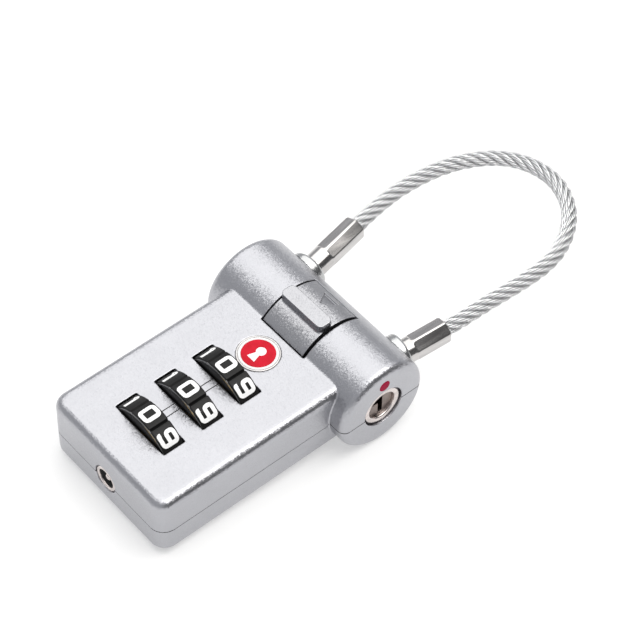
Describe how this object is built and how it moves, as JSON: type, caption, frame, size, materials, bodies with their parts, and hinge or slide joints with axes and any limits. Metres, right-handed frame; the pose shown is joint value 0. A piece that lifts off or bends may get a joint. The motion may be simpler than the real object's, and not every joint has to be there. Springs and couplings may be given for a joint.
{
  "type": "cable luggage lock",
  "caption": "Combination luggage lock with a flat case, dial wheels, a cross barrel with thumb latch and key cylinder, and a sheathed steel cable loop.",
  "frame": {"origin": "middle of the lock's footprint, on the level of the lowest point of the barrel", "axes": "+X along the barrel towards the key hole, +Y from the case towards the cable loop, +Z out of the dial face"},
  "size_m": [0.0376, 0.1016, 0.0194],
  "materials": {
    "sprayed_zinc": "satin silver paint with fine metal flake on cast zinc",
    "latch_zinc": "satin silver paint with fine metal flake, rubbed on the ridge",
    "collar_zinc": "satin silver paint",
    "ferrule_steel": "turned and crimped, fine lengthwise marks",
    "turned_steel": "turned, fine rings",
    "plug_steel": "turned, slightly dark in the recess",
    "spring_steel": "drawn wire and rolled strip",
    "screw_steel": "nickel plated",
    "hub_brass": "turned brass",
    "dial_plastic": "moulded, glossy black with white numbers",
    "dial_white": "white paint filled into the numbers",
    "badge_red": "glossy enamel",
    "dot_red": "red paint",
    "cable_sheath": "clear sheath",
    "cable_strand": "twisted galvanised wires"
  },
  "bodies": {
    "housing": {"front_shell": "sprayed_zinc", "rear_shell": "sprayed_zinc", "case_screws": "screw_steel", "badge": "badge_red", "red_dot": "dot_red", "reset_bush": "turned_steel", "detent_spring": "spring_steel", "spacers": "spring_steel", "collar_left": "collar_zinc", "collar_right": "collar_zinc", "key_sleeve": "turned_steel", "fixed_fitting": "ferrule_steel", "cable": "cable_sheath", "eject_spring": "spring_steel", "latch_spring": "spring_steel", "spindle_spring": "spring_steel"},
    "dial_1": {"dial_1": "dial_plastic", "dial_hub_1": "hub_brass"},
    "dial_2": {"dial_2": "dial_plastic", "dial_hub_2": "hub_brass"},
    "dial_3": {"dial_3": "dial_plastic", "dial_hub_3": "hub_brass"},
    "spindle": {"spindle": "turned_steel", "reset_button": "turned_steel"},
    "latch": {"thumb_piece": "latch_zinc", "latch_drum": "turned_steel"},
    "key": {"key_plug": "plug_steel", "key_wafers": "hub_brass", "key_cam": "turned_steel", "key_clip": "spring_steel"},
    "free_end": {"free_fitting": "ferrule_steel"}
  },
  "joints": [
    {"name": "dial_1_turn", "type": "hinge", "parent": "housing", "child": "dial_1", "pos_m": [0, -0.01825, 0.0097], "axis": [0, 1, 0], "continuous": true},
    {"name": "dial_2_turn", "type": "hinge", "parent": "housing", "child": "dial_2", "pos_m": [0, -0.0101, 0.0097], "axis": [0, 1, 0], "continuous": true},
    {"name": "dial_3_turn", "type": "hinge", "parent": "housing", "child": "dial_3", "pos_m": [0, -0.00195, 0.0097], "axis": [0, 1, 0], "continuous": true},
    {"name": "reset_press", "type": "slide", "parent": "housing", "child": "spindle", "axis": [0, 1, 0], "range_m": [0, 0.0014], "stiffness_N_per_m": 800, "springref_m": -0.0005, "deforming": ["spindle_spring"]},
    {"name": "latch_turn", "type": "hinge", "parent": "housing", "child": "latch", "pos_m": [0, 0.0172, 0.0091], "axis": [1, 0, 0], "range_deg": [0, 22], "stiffness_Nm_per_rad": 0.02, "springref_deg": -11.46},
    {"name": "key_turn", "type": "hinge", "parent": "housing", "child": "key", "pos_m": [0, 0.0172, 0.0091], "axis": [1, 0, 0], "range_deg": [0, 90]},
    {"name": "pin_out", "type": "slide", "parent": "housing", "child": "free_end", "axis": [-0.1392, 0.9839, 0.1121], "range_m": [0, 0.005], "deforming": ["cable"]}
  ],
  "couplings": [
    {"joint": "latch_turn", "follows": "pin_out", "rad_per_m": 76.794}
  ]
}
